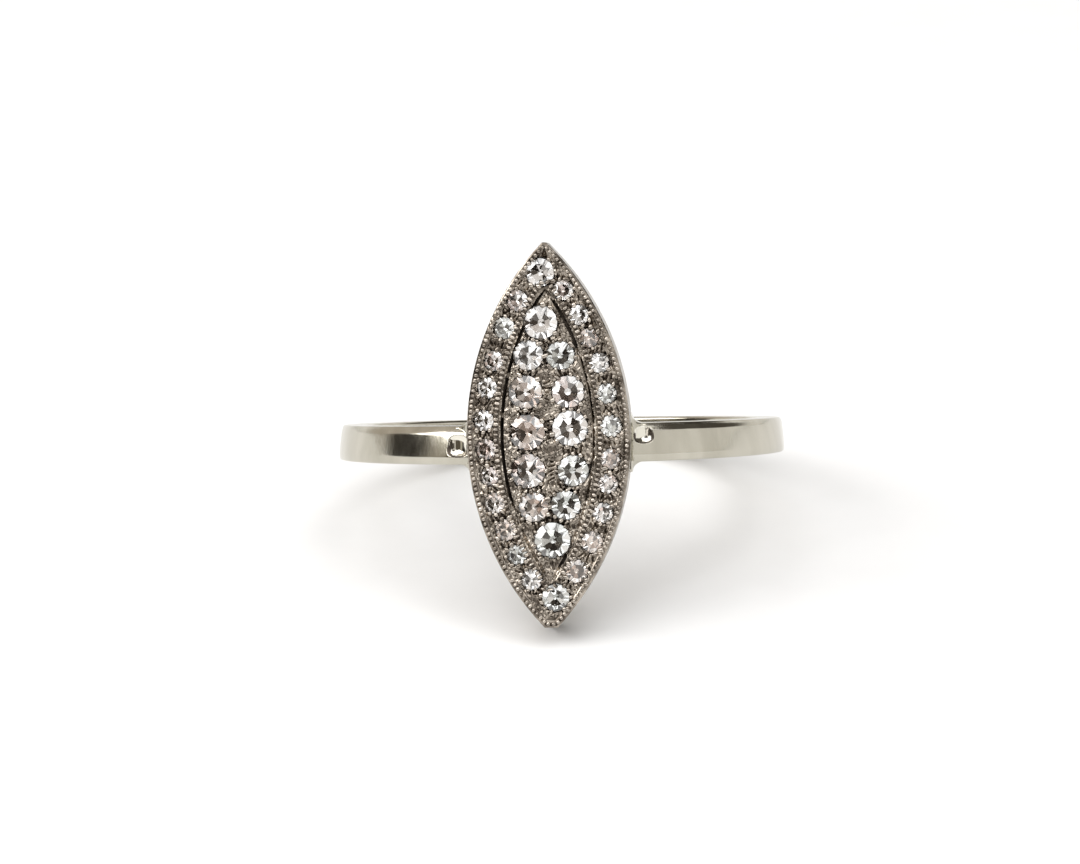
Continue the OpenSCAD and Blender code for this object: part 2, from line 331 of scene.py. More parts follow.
def panel_half_w(y, growth=0):
    """Half width of the panel, grown, at places up it."""
    w = np.sqrt(np.maximum((PANEL_R + growth) ** 2 - y ** 2, 0)) - PANEL_R + PANEL_HALF_W
    return np.maximum(w, THIN)


def panel_curve(growth, count):
    """Points up the right side of the grown panel and down the left."""
    tip = math.sqrt((PANEL_R + growth) ** 2 - (PANEL_R - PANEL_HALF_W) ** 2)
    y = tip * (2 * along_side(count) - 1)
    w = panel_half_w(y, growth)
    return np.concatenate([np.stack([w, y], 1), np.stack([-w, y], 1)[::-1]])


def head_curve(inset, count):
    """Points up the right side of the head's outline moved in, and down the left."""
    tip = HEAD_HALF_L - inset
    arc_tip = math.sqrt((HEAD_R - inset) ** 2 - (HEAD_R - HEAD_HALF_W) ** 2)
    low, high = max(-tip, -arc_tip - BELLY_DROP), min(tip, arc_tip - BELLY_DROP)
    y = low + (high - low) * along_side(count)
    arc = np.sqrt(np.maximum((HEAD_R - inset) ** 2 - (y + BELLY_DROP) ** 2, 0))
    w = np.maximum(arc - HEAD_R + HEAD_HALF_W, THIN)
    return np.concatenate([np.stack([w, y], 1), np.stack([-w, y], 1)[::-1]])


def on_dome(x, y, h):
    """A place on the dome raised by h; what is sunk goes in square to the dome."""
    sunk = np.minimum(h, 0)
    up = np.maximum(h, 0)
    cos = np.sqrt(1 - (x / DOME_R) ** 2)
    a = DOME_A + np.sqrt((DOME_R + up) ** 2 - x ** 2) + sunk * cos
    return np.stack([x + sunk * x / DOME_R, y + HEAD_OFFSET, a], axis=-1)


def seat_distance(x, y):
    """For each place the nearest seat and the distance from its axis."""
    phi = np.arcsin(np.clip(x / DOME_R, -1, 1))
    best = np.full(x.shape, np.inf)
    which = np.zeros(x.shape, int)
    for i in range(len(seat_x)):
        off = np.hypot(DOME_R * np.sin(phi - math.asin(seat_x[i] / DOME_R)), y - seat_y[i])
        nearer = off - seat_d[i] / 2 < best
        best = np.where(nearer, off - seat_d[i] / 2, best)
        which = np.where(nearer, i, which)
    return which, best + seat_d[which] / 2


def seat_floor(d, rho):
    """Height of the seat of a stone of diameter d at a distance from its axis."""
    collar_r, hole_r = d / 2 + SEAT_GAP, HOLE_SHARE * d / 2
    collar_z = -GIRDLE_SINK - GIRDLE_SHARE * d / 2 - SEAT_GAP
    return collar_z - (collar_r - np.clip(rho, hole_r, collar_r)) * PAVILION_SHARE * 2


# Slack with which a place counts as being on the edge of a hole
HOLE_SLACK = 1e-4


def off_holes(faces, which, rho):
    """Those of the faces that don't lie wholly over a hole."""
    open_hole = rho < HOLE_SHARE * seat_d[which] / 2 + HOLE_SLACK
    return faces[~open_hole[faces].all(axis=1)]


def snap_to_seats(x, y, cell):
    """Moves places that nearly lie on a collar or a hole onto it, for a clean edge."""
    which, rho = seat_distance(x, y)
    for radius in (seat_d / 2 + SEAT_GAP, seat_d * HOLE_SHARE / 2):
        gap = radius[which] - rho
        near = np.abs(gap) < cell / 2
        scale = np.where(near & (rho > 0), radius[which] / np.maximum(rho, TINY), 1)
        x = seat_x[which] + (x - seat_x[which]) * scale
        y = seat_y[which] + (y - seat_y[which]) * scale
    return x, y


# Where metal bridges the channel: side of the head and place up it
BRIDGES = ((-1, 2.53), (-1, 0.86))
BRIDGE_HALF_W = 0.1
BRIDGE_T = 0.06

# Where the channel stands open: side, low and high ends, how softly it closes there, and the
# share of its width
OPEN_SPANS = (
    (-1, -3.1, 6.2, 0.5, 0.66),
    (1, 3.5, 5.7, 0.25, 0.75),
    (1, -1.7, 3.9, 0.6, 0.255),
    (1, -5.5, -4.95, 0.12, 0.675),
)
# Share above which it goes down to the solid's channel, and its depth elsewhere
DEEP_SHARE = 0.4
SHALLOW_T = 0.13


def channel_share(x, y):
    """How much of the channel's width stands open: most on the left, little on the right."""
    share = np.zeros(x.shape)
    for side, low, high, soft, width in OPEN_SPANS:
        along = np.clip((y - low) / soft, 0, 1) * np.clip((high - y) / soft, 0, 1)
        share = np.maximum(share, np.where((x < 0) == (side < 0), width * along, 0))
    return share


# Cuts of the graver in the metal between neighbouring stones of one field
CUT_GAP = 0.75
CUT_OFFSETS = (-0.34, -0.16, 0.02, 0.2, 0.38)
CUT_DRIFT = 0.05
CUT_TURN = 0.7
CUT_HALF_L = (0.1, 0.26)
CUT_HALF_W = 0.055
CUT_T = 0.085
CUT_RUN_OUT = 0.08
CUT_REACH = 0.3

graver_cuts = []
in_panel = panel_growth(seat_x, seat_y) < 0
for i in range(len(seat_x)):
    for j in range(i):
        span = np.array([seat_x[i] - seat_x[j], seat_y[i] - seat_y[j]])
        reach = np.hypot(*span)
        touching = (seat_d[i] + seat_d[j]) / 2
        if in_panel[i] == in_panel[j] and reach < touching + CUT_GAP:
            share = (seat_d[j] / 2 + (reach - touching) / 2) / reach
            mid = np.array([seat_x[j], seat_y[j]]) + span * share
            level = np.array([-span[1], span[0]]) / reach
            for off in CUT_OFFSETS:
                place = mid + level * (off + rng.uniform(-CUT_DRIFT, CUT_DRIFT))
                turn = math.atan2(span[1], span[0]) + rng.uniform(-CUT_TURN, CUT_TURN)
                graver_cuts.append((*place, turn, rng.uniform(*CUT_HALF_L)))

# Heights of the rims round the panel and the head, and of the worked surface
INNER_RISE = 0.025
OUTER_RISE = 0.045
RIDGE_T = 0.032
GRAIN_T = 0.013
CREVICE_T = 0.022
# Share of the unevenness that the rims have
RIM_WORN = 0.15
# Where painted shade darkens the crevices: between the inner beads, and beside stones where the
# waves are above
BEAD_GAP_SHADE = (0.03, 0.25)
STONE_SHADE_W = 0.04
STONE_SHADE_WAVE = -0.2
# How much of a cut's depth or of a face's corners make it a crevice, painted in shade
CREVICE_SHARE = 0.6
# How far the field and the rims sink round a stone, and over what distance
FIELD_SINK = 0.05
RIM_SINK = 0.02
SINK_REACH = 0.07
# Groove that marks the channel where it is closed
GROOVE_T = 0.06
GROOVE_AT = 0.07
GROOVE_HALF_W = 0.06
# Notch in the rim at each tip of the head: start, length, half width and depth
NOTCH_AT = 0.22
NOTCH_L = 0.42
NOTCH_HALF_W = 0.17
NOTCH_T = 0.16
# How far inside their edges the channel and the seats begin
EDGE = 0.001
SEAT_EDGE = 0.002


def bulge(offset):
    """Round height across a rim, 1 in the middle and 0 at a half width of 1."""
    return np.sqrt(np.clip(1 - offset ** 2, 0, 1))


def relief(x, y):
    """Height of the worked face above the dome, and which places are crevices painted in shade.
    """
    g, inset = panel_growth(x, y), head_inset(x, y)
    which, rho = seat_distance(x, y)
    out = rho - (seat_d[which] / 2 + SEAT_GAP)
    field = (g < 0) | ((g > CHANNEL_W + RIM_W) & (inset > RIM_W))
    half_rim = RIM_W / 2
    h = INNER_RISE * bulge((g - CHANNEL_W - half_rim) / half_rim) \
        + OUTER_RISE * bulge((inset - half_rim) / half_rim)
    worked = RIDGE_T * (0.5 - np.abs(waves(x, y, size=0.36, count=5, seed=3))) \
        + GRAIN_T * waves(x, y, size=0.15, count=5, seed=4)
    low, high = BEAD_GAP_SHADE
    in_bead_row = (g > CHANNEL_W + low) & (g < CHANNEL_W + high)
    beside_stone = field & (out > 0) & (out < STONE_SHADE_W)
    beside_stone &= waves(x, y, size=0.5, count=5, seed=6) > STONE_SHADE_WAVE
    # Painted shade in the crevices: between the inner beads, beside stones and in the lowest
    # places of the worked face
    crevice = in_bead_row | beside_stone | (field & (worked < -CREVICE_T))
    h = h + np.where(field, worked, RIM_WORN * worked)
    for cx, cy, turn, half_l in graver_cuts:
        near = np.nonzero((np.abs(x - cx) < CUT_REACH) & (np.abs(y - cy) < CUT_REACH) & field)
        u = (x[near] - cx) * math.cos(turn) + (y[near] - cy) * math.sin(turn)
        v = (y[near] - cy) * math.cos(turn) - (x[near] - cx) * math.sin(turn)
        cut = np.clip(1 - np.abs(v) / CUT_HALF_W, 0, 1) \
            * np.clip((half_l - np.abs(u)) / CUT_RUN_OUT, 0, 1)
        h[near] -= CUT_T * cut
        # Deep cuts are crevices too, painted in shade
        crevice[near] |= cut > CREVICE_SHARE
    sink = np.where(field, FIELD_SINK, RIM_SINK)
    h = h - sink * np.exp(-(np.maximum(out, 0) / SINK_REACH) ** 2)
    in_channel = (g > EDGE) & (g < CHANNEL_W - EDGE)
    groove = np.clip(1 - np.abs(g - GROOVE_AT) / GROOVE_HALF_W, 0, 1)
    h = np.where(in_channel, worked - GROOVE_T * groove, h)
    share = channel_share(x, y)
    in_channel = in_channel & (g < CHANNEL_W * share)
    floor = np.where(share > DEEP_SHARE, -CHANNEL_T, -SHALLOW_T)
    for side, place in BRIDGES:
        on_bridge = (np.sign(x) == side) & (np.abs(y - place) < BRIDGE_HALF_W)
        floor = np.where(on_bridge, -BRIDGE_T, floor)
    h = np.where(in_channel, np.minimum(h, floor), h)
    for end in (1, -1):
        up = (HEAD_HALF_L - NOTCH_AT - y * end) / NOTCH_L
        notch_w = NOTCH_HALF_W * up
        cut = (up > 0) & (up < 1) & (np.abs(x) < notch_w)
        h = np.where(cut, h - NOTCH_T * (1 - np.abs(x) / np.maximum(notch_w, TINY)), h)
    seat = seat_floor(seat_d[which], rho)
    return np.where(out < -SEAT_EDGE, np.minimum(h, seat), h), crevice


# Slots of a worked field
AGED_SLOT, RECESS_SHADE_SLOT, CREVICE_SHADE_SLOT = 0, 1, 2
# A face this far down is in the channel's recess, which is painted in shade
RECESS_T = 0.3


def face_piece(name, x, y, rows, columns, closed, cell):
    """A worked field from a grid of places, left open over the holes below stones."""
    x, y = snap_to_seats(x, y, cell)
    h, crevice = relief(x, y)
    which, rho = seat_distance(x, y)
    faces = off_holes(grid_faces(rows, columns, closed), which, rho)
    recess = h[faces].min(axis=1) < -RECESS_T
    seat_r = seat_d[which] / 2 + SEAT_GAP
    in_seat = rho[faces].mean(axis=1) < seat_r[faces].mean(axis=1)
    # Crevices take painted shade
    slots = np.where(crevice[faces].mean(axis=1) > CREVICE_SHARE, CREVICE_SHADE_SLOT, AGED_SLOT)
    # Faces deep in the channel's recess take painted shade
    slots = np.where(recess & ~in_seat, RECESS_SHADE_SLOT, slots)
    make_piece(name, on_dome(x, y, h), faces, [AGED, RECESS_SHADE, CREVICE_SHADE], slots, sharp=38)


# Panel: rows up the head, columns across it
PANEL_ROWS, PANEL_COLUMNS = 620, 156
y = PANEL_HALF_L * (2 * along_side(PANEL_ROWS) - 1)
x = np.linspace(-1, 1, PANEL_COLUMNS)[None, :] * panel_half_w(y)[:, None]
face_piece("head_panel", x.ravel(), np.repeat(y, PANEL_COLUMNS), PANEL_ROWS, PANEL_COLUMNS,
           closed=False, cell=0.022)

# Border: rings of places from the panel's edge out to the edge of the head, close together
# at the edges of the channel
BORDER_SIDE = 740
channel_rings = [0, 0.003, *np.linspace(0.025, CHANNEL_W - 0.025, 7), CHANNEL_W - 0.003,
                 CHANNEL_W]
rim_rings = [CHANNEL_W + RIM_W * t for t in np.linspace(0.1, 1, 10)]
inner_rings = [panel_curve(g, BORDER_SIDE) for g in channel_rings + rim_rings]
outer_rings = [head_curve(RIM_W * t, BORDER_SIDE) for t in np.linspace(1, 0, 12)]
middle_rings = [inner_rings[-1] + (outer_rings[0] - inner_rings[-1]) * t
                for t in np.linspace(0, 1, 40)[1:-1]]
rings = np.array(inner_rings + middle_rings + outer_rings)[::-1]
face_piece("head_border", rings[..., 0].ravel(), rings[..., 1].ravel(),
           len(rings), 2 * BORDER_SIDE, closed=True, cell=0.02)


# Wall of the head: down the outside, round the foot and up to the plate's back
def wall_level(inset, share, count):
    """The head's outline moved in, between the dome (share 0) and the foot (share 1)."""
    xy = head_curve(inset, count)
    top = DOME_A + np.sqrt(DOME_R ** 2 - xy[:, 0] ** 2)
    foot = np.sqrt(FOOT_R ** 2 - xy[:, 0] ** 2)
    return np.stack([xy[:, 0], xy[:, 1] + HEAD_OFFSET, top + (foot - top) * share], 1)


WALL_SIDE = 300
# Inset and share of each level; the first OUTSIDE_LEVELS rows of faces are the outside
WALL_LEVELS = [(0.03, -0.006), (0.008, 0), *[(0, t) for t in np.linspace(0.012, 0.985, 9)],
               (0.012, 0.996), (0.03, 1), (WALL_T - 0.03, 1), (WALL_T, 0.985), (WALL_T, 0.7),
               (WALL_T, 0.36)]
OUTSIDE_LEVELS = 11
levels = np.array([wall_level(inset, share, WALL_SIDE) for inset, share in WALL_LEVELS])
faces = grid_faces(len(levels), 2 * WALL_SIDE, closed=True)[:, ::-1]
slots = np.arange(len(faces)) // (2 * WALL_SIDE) >= OUTSIDE_LEVELS
make_piece("head_wall", levels.reshape(-1, 3), faces, [WALL, INSIDE], slots, sharp=40)

# Back of the plate, with the holes that let light in below the stones
BACK_ROWS, BACK_COLUMNS = 260, 90
HOLE_SIDES = 24
edge = head_curve(WALL_T - 0.02, BACK_ROWS)[:BACK_ROWS]
bx = (np.linspace(-1, 1, BACK_COLUMNS)[None, :] * edge[:, :1]).ravel()
by = np.repeat(edge[:, 1], BACK_COLUMNS)


def back_of_plate(x, y):
    a = DOME_A + np.sqrt((DOME_R - PLATE_T) ** 2 - x ** 2)
    return np.stack([x, y + HEAD_OFFSET, a], 1)


bx, by = snap_to_seats(bx, by, cell=0.06)
faces = grid_faces(BACK_ROWS, BACK_COLUMNS)[:, ::-1]
faces = off_holes(faces, *seat_distance(bx, by)).tolist()
points = [back_of_plate(bx, by)]
total = len(bx)
turn = np.linspace(0, 2 * math.pi, HOLE_SIDES, endpoint=False)
for x0, y0, d in zip(seat_x, seat_y, seat_d):
    hole_r = HOLE_SHARE * d / 2
    cx, cy = x0 + hole_r * np.cos(turn), y0 + hole_r * np.sin(turn)
    top = np.full(HOLE_SIDES, seat_floor(d, hole_r))
    points += [on_dome(cx, cy, top), back_of_plate(cx, cy)]
    faces += (grid_faces(2, HOLE_SIDES, closed=True) + total).tolist()
    total += 2 * HOLE_SIDES
make_piece("head_back", np.concatenate(points), faces, [INSIDE], sharp=40)


# Beads

def unit_bead():
    bm = bmesh.new()
    bmesh.ops.create_icosphere(bm, subdivisions=2, radius=1)
    points = np.array([v.co[:] for v in bm.verts])
    faces = np.array([[v.index for v in f.verts] for f in bm.faces])
    bm.free()
    return points, faces


BEAD_POINTS, BEAD_FACES = unit_bead()


def beads(name, places, material):
    """Joined beads; each place is x, y, height, turn, and half sizes along, across and up."""
    points, faces = [], []
    for i, (x, y, h, turn, along, across, up) in enumerate(places):
        phi = math.asin(x / DOME_R)
        normal = np.array([math.sin(phi), 0, math.cos(phi)])
        flat_x = np.array([math.cos(phi), 0, -math.sin(phi)])
        flat_y = np.array([0, 1.0, 0])
        t = math.cos(turn) * flat_x + math.sin(turn) * flat_y
        s = np.cross(normal, t)
        centre = on_dome(np.array([x]), np.array([y]), np.array([0.0]))[0] + normal * h
        points.append(centre + BEAD_POINTS[:, :1] * t * along + BEAD_POINTS[:, 1:2] * s * across
                      + BEAD_POINTS[:, 2:] * normal * up)
        faces.append(BEAD_FACES + i * len(BEAD_POINTS))
    make_piece(name, np.concatenate(points), np.concatenate(faces), [material])


# Distance ahead and behind from which the way a curve runs is read
WAY_STEP = 0.02


def spaced(curve, pitch):
    """Places at an even pitch round a closed curve, with the way the curve runs there."""
    closed = np.concatenate([curve, curve[:1]])
    run = np.concatenate([[0], np.cumsum(np.hypot(*np.diff(closed, axis=0).T))])
    count = int(round(run[-1] / pitch))
    at = (np.arange(count) + 0.5) * run[-1] / count

    def on_curve(run_to):
        return [np.interp(run_to, run, closed[:, axis]) for axis in (0, 1)]

    x, y = on_curve(at)
    ahead_x, ahead_y = on_curve(at + WAY_STEP)
    behind_x, behind_y = on_curve(at - WAY_STEP)
    return x, y, np.arctan2(ahead_y - behind_y, ahead_x - behind_x)


MILGRAIN_PITCH = 0.218
# Name, curve that the row runs on, height, unevenness, half sizes along, across and up
MILGRAIN_ROWS = (
    ("milgrain_outer", head_curve(0.16, 600), 0.035, 0.07, (0.09, 0.095, 0.085)),
    ("milgrain_inner", panel_curve(CHANNEL_W + 0.13, 600), 0.03, 0.09, (0.083, 0.135, 0.115)),
)
for name, curve, height, uneven, half in MILGRAIN_ROWS:
    row = [(x, y, height, turn, *(half * rng.normal(1, uneven, 3)))
           for x, y, turn in zip(*spaced(curve, MILGRAIN_PITCH))]
    beads(name, row, BEADED)

# Grains that hold the stones, raised where the gaps between stones are narrow: how far out
# from a stone, places tried round it, least distances from a stone, from the panel's edge,
# from the rims and from each other, and the greatest to the next stone
GRAIN_OUT = 0.055
GRAIN_TRIES = 40
GRAIN_CLEAR = 0.045
GRAIN_FROM_EDGE = 0.1
GRAIN_FROM_RIM = 0.2
GRAIN_PITCH = 0.29
GRAIN_REACH = 1.2
GRAIN_SINK = 0.02
GRAIN_UNEVEN = 0.2
GRAIN_HALF = (0.13, 0.095, 0.11)

candidates = []
for i in range(len(seat_x)):
    phi0 = math.asin(seat_x[i] / DOME_R)
    for turn in np.arange(0, 2 * math.pi, 2 * math.pi / GRAIN_TRIES):
        r = seat_d[i] / 2 + GRAIN_OUT
        phi = phi0 + math.asin(r * math.cos(turn) / DOME_R)
        x, y = DOME_R * math.sin(phi), seat_y[i] + r * math.sin(turn)
        g, inset = float(panel_growth(x, y)), float(head_inset(x, y))
        in_border = g > CHANNEL_W + GRAIN_FROM_RIM and inset > GRAIN_FROM_RIM
        on_metal = g < -GRAIN_FROM_EDGE or in_border
        gaps = np.sort(np.hypot(seat_x - x, seat_y - y) - seat_d / 2)
        if on_metal and gaps[0] > GRAIN_CLEAR:
            candidates.append((gaps[1], x, y))
grains = []
for to_next_stone, x, y in sorted(candidates):
    apart = all(math.hypot(x - grain[0], y - grain[1]) > GRAIN_PITCH for grain in grains)
    if to_next_stone < GRAIN_REACH and apart:
        half = GRAIN_HALF * rng.normal(1, GRAIN_UNEVEN, 3)
        grains.append((x, y, -GRAIN_SINK, rng.uniform(0, 3), *half))
beads("setting_grains", grains, BEADED)

# Shank
face_half_w = SHOULDER_W / 2 - BEVEL_W


def plain_half_w(a):
    return (BACK_W + (SHOULDER_W - BACK_W) * (a + OUTER_R) / (SHOULDER_R + OUTER_R)) / 2


def scoop_r_at(psi):
    """Radius at which a ray from the finger's axis meets the near side of the scoop."""
    dot = SCOOP_X * math.sin(psi) + SCOOP_A * math.cos(psi)
    off = SCOOP_X * math.cos(psi) - SCOOP_A * math.sin(psi)
    inside = SCOOP_R ** 2 - off ** 2
    return dot - math.sqrt(inside) if inside > 0 else None


SCOOP_PSI = math.atan2(SCOOP_X, SCOOP_A)
# How the two sides of the shank differ: the lean of the face, the softness of the bevels'
# edges, the rounding of the top edge, the middle and half width of the hollow filed into the
# shoulder, and how deep the painted shade at its foot goes
SIDES = {
    "left": dict(lean=0.12, soft=0.03, rounding=2.0, mid=0.0, half_w=0.50, foot_shade=0.08),
    "right": dict(lean=0.08, soft=0.012, rounding=4.5, mid=0.42, half_w=0.48, foot_shade=0.05),
}
CROWN = 0.025
ROUNDED_W = 0.16
# The bevels run out towards the back: how much, from which turn and over what turn
BEVEL_LOSS = 0.65
BEVEL_FROM = 0.6
BEVEL_OVER = 0.9
# The hollows: how steeply their ends rise, and the turn past their middle where they end
BOWL_RISE = 0.19
SCOOP_TURN = 0.09
# Points of the rounded outer edge: how far in from the side and how far down they are
OUTER_SOFT = ((0.028, 0.016), (0.010, 0.034), (0, 0.066))
INNER_SOFT = 0.12
# Wear, and how far out from the inside it starts
WEAR = 0.0035
WEAR_FROM = 0.3
# Finishes of the shank, which are its slots: the inside of a hollow has a painted highlight, and
# its foot painted shade
SMOOTH, PAINTED_HIGHLIGHT, HOLLOW_FOOT_SHADE = 0, 1, 2
# Share of a face's corners above which it has the painted highlight of a hollow, and the painted
# shade of its foot
HOLLOW_SHARE = 0.7
FOOT_SHADE_SHARE = 0.4


def edge_and_wall(w, edge_r):
    """Points from the rounded outer edge down the side and round to the inside."""
    points = [(w - in_by, edge_r - down_by) for in_by, down_by in OUTER_SOFT]
    points += [(w, r) for r in np.linspace(edge_r - 0.2, INNER_R + 0.16, 5)]
    for turn in np.linspace(0, math.pi / 2, 6):
        points.append((w - INNER_SOFT * (1 - math.cos(turn)),
                       INNER_R + INNER_SOFT * (1 - math.sin(turn))))
    return points


def station(psi):
    """One closed section of the shank, as points, and how each is finished."""
    side = SIDES["left" if psi > math.pi else "right"]
    turn = min(psi, 2 * math.pi - psi)
    w = plain_half_w(OUTER_R * math.cos(turn))
    # Places across the face, close together where the bevel starts
    half = np.concatenate([np.linspace(0, face_half_w - 0.07, 16),
                           face_half_w + np.linspace(-0.05, 0.05, 7),
                           np.linspace(face_half_w + 0.075, w - 0.05, 9)])
    b = np.concatenate([-half[::-1], half[1:]])
    over = (np.abs(b) - face_half_w) / side["soft"]
    bevelled = 1 - BEVEL_LOSS * min(max((turn - BEVEL_FROM) / BEVEL_OVER, 0), 1)
    r = OUTER_R - bevelled * BEVEL_T / BEVEL_W * side["soft"] * np.logaddexp(0, over) \
        - CROWN * (b / w) ** 2 - side["lean"] * b
    r = r - bevelled * side["rounding"] * np.maximum(b - w + ROUNDED_W, 0) ** 2
    finish = np.full(len(b), SMOOTH)
    scoop = scoop_r_at(turn) if turn < SCOOP_PSI + SCOOP_TURN else None
    if scoop is not None:
        bowl = scoop + BOWL_RISE * ((b - side["mid"]) / side["half_w"]) ** 4
        # Painted shade along the foot of the hollow, a painted highlight over the rest of it
        at_foot = (bowl > r - side["foot_shade"]) & (b < side["mid"])
        finish = np.where(bowl < r, np.where(at_foot, HOLLOW_FOOT_SHADE, PAINTED_HIGHLIGHT), SMOOTH)
        cut = np.minimum(r, bowl)
        r = np.maximum(scoop, cut) if turn < SCOOP_PSI else cut
    right, left = edge_and_wall(w, float(r[-1])), edge_and_wall(w, float(r[0]))
    inner_w = w - INNER_SOFT - 0.1
    inside = [(v, INNER_R) for v in np.linspace(inner_w, -inner_w, 9)]
    outline = np.array([*zip(b, r), *right, *inside, *[(-u, v) for u, v in left[::-1]]])
    along = np.full(len(outline), psi * OUTER_R)
    wear = WEAR * waves(along, outline[:, 0], size=2.6, count=4, seed=21)
    radius = outline[:, 1] + np.where(outline[:, 1] > INNER_R + WEAR_FROM, wear, 0)
    finish = np.concatenate([finish, np.full(len(outline) - len(b), SMOOTH)])
    return np.stack([radius * math.sin(psi), outline[:, 0], radius * math.cos(psi)], 1), finish


# Sections, close where the hollows are, from the turn at which the shank ends inside the
# wall of the head
START = math.radians(20.05)
near = np.linspace(START, SCOOP_PSI + 0.12, 60)
far = np.linspace(near[-1], 2 * math.pi - near[-1], 360)[1:-1]
turns = np.concatenate([near, far, 2 * math.pi - near[::-1]])
sections, finishes = map(np.array, zip(*[station(t) for t in turns]))
per = sections.shape[1]
shank_points = np.concatenate([sections.reshape(-1, 3), sections[0].mean(0, keepdims=True),
                               sections[-1].mean(0, keepdims=True)])
faces = grid_faces(len(sections), per, closed=True)
face_finish = finishes.ravel()[faces]
# Hollows take their painted highlight, and their feet painted shade
slots = np.where((face_finish != SMOOTH).mean(axis=1) > HOLLOW_SHARE, PAINTED_HIGHLIGHT, SMOOTH)
slots = np.where((face_finish == HOLLOW_FOOT_SHADE).mean(axis=1) > FOOT_SHADE_SHARE, HOLLOW_FOOT_SHADE, slots)
# Each end is closed by a fan of triangles round its middle
faces = faces.tolist()
last = (len(sections) - 1) * per
for i in range(per):
    faces.append([(i + 1) % per, i, len(sections) * per])
    faces.append([last + i, last + (i + 1) % per, len(sections) * per + 1])
slots = np.concatenate([slots, np.full(2 * per, SMOOTH)])
make_piece("shank", shank_points, faces, [POLISHED, HOLLOW_HIGHLIGHT, CREVICE_SHADE], slots, sharp=35)

# Fillets that widen the shank's ends where they meet the wall of the head: how many sections
# they have, how far inside the wall and the shank's side they start, where across they leave
# the scoop's foot and go below the bevel, the radius they keep within there, and how rounded
# they are
FLARE_SECTIONS = 32
FLARE_START = 0.25
FLARE_ROOT = 0.2
SCOOP_FOOT_X = 3.41
BEVEL_START_X = 3.7
BEVEL_LOW_R = OUTER_R - BEVEL_T * 0.8 - 0.05
FLARE_SOFT = 0.14


def flare(side, up):
    """Sections square across the ring, from inside the wall out to the shank's side."""
    loops = []
    for x in np.linspace(HEAD_HALF_W - FLARE_START, HEAD_HALF_W + FLARE_L - 0.01, FLARE_SECTIONS):
        reach = min((HEAD_HALF_W + FLARE_L - x) / FLARE_L, 1)
        w = SHOULDER_W / 2 - BLEND_BITE + FLARE_R * (1 - math.sqrt(1 - reach ** 2))
        inner_b = SHOULDER_W / 2 - FLARE_ROOT
        scoop_off = max(x, SCOOP_FOOT_X) - SCOOP_X
        top = SCOOP_A - math.sqrt(SCOOP_R ** 2 - scoop_off ** 2) + 0.004
        if x > BEVEL_START_X:
            top = min(top, math.sqrt(BEVEL_LOW_R ** 2 - x ** 2))
        foot = math.sqrt(FOOT_R ** 2 - x ** 2)
        soft = min(FLARE_SOFT, (w - inner_b) * 0.6)
        q = np.linspace(0, math.pi / 2, 8)
        loop = [(inner_b, foot), (w - 0.03, foot), (w, foot + 0.03)]
        loop += [(w, foot + (top - soft - foot) * t) for t in (0.3, 0.6, 0.9)]
        loop += [(w - soft * (1 - math.cos(v)), top - soft * (1 - math.sin(v))) for v in q]
        loop += [(inner_b, top)]
        loops.append([(side * x, up * b, a) for b, a in loop])
    return np.array(loops)


points, faces, total = [], [], 0
for side in (-1, 1):
    for up in (-1, 1):
        loops = flare(side, up)
        quads = grid_faces(len(loops), loops.shape[1], closed=True)
        if side * up > 0:
            quads = quads[:, ::-1]
        caps = [list(range(loops.shape[1])),
                [(len(loops) - 1) * loops.shape[1] + i for i in range(loops.shape[1])][::-1]]
        faces += (quads + total).tolist() + [[i + total for i in cap] for cap in caps]
        points.append(loops.reshape(-1, 3))
        total += len(points[-1])
make_piece("shoulder_fillets", np.concatenate(points), faces, [POLISHED], sharp=50)

# Floor of white paper, in metres
FLOOR_HALF = 1.5
FLOOR_DROP = 2e-5
PAPER_SCALE = 900
PAPER_TONES = [(0.3, grey(0.86)), (0.7, grey(0.88))]
floor_mesh = bpy.data.meshes.new("floor")
corners = [(-1, -1), (1, -1), (1, 1), (-1, 1)]
floor_mesh.from_pydata([(FLOOR_HALF * x, FLOOR_HALF * y, -FLOOR_DROP) for x, y in corners],
                       [], [(0, 1, 2, 3)])
floor = bpy.data.objects.new("floor", floor_mesh)
bpy.context.scene.collection.objects.link(floor)
paper, nodes, links = new_material("white_paper")
shader = nodes["Principled BSDF"]
shader.inputs["Roughness"].default_value = 0.9
shader.inputs["Specular IOR Level"].default_value = 0.1
tone = noise_ramp(nodes, links, PAPER_SCALE, detail=3, stops=PAPER_TONES)
links.new(tone, shader.inputs["Base Color"])
floor_mesh.materials.append(paper)


def soft_box(name, place, size, power, colour=(1, 1, 1)):
    """A rectangular light that points at the ring."""
    light = bpy.data.lights.new(name, "AREA")
    light.shape = "RECTANGLE"
    light.size, light.size_y = size
    light.energy = power
    light.color = colour
    lamp = bpy.data.objects.new(name, light)
    lamp.location = place
    lamp.rotation_euler = (-Vector(place)).to_track_quat("-Z", "Y").to_euler()
    bpy.context.scene.collection.objects.link(lamp)


soft_box("window", (-0.319, -0.116, 0.247), size=(0.31, 0.2), power=0.72,
         colour=(1, 0.99, 0.98))
soft_box("overhead", (0.02, -0.12, 0.42), size=(0.64, 0.52), power=1.5)

# Walls of the room by direction, as the metal mirrors them: pale at eye level, with the
# shade of the camera and of those beside it in front, and windows with dim wall above
world = bpy.data.worlds.new("studio")
bpy.context.scene.world = world
world.use_nodes = True
nodes, links = world.node_tree.nodes, world.node_tree.links
direction = nodes.new("ShaderNodeTexCoord").outputs["Generated"]


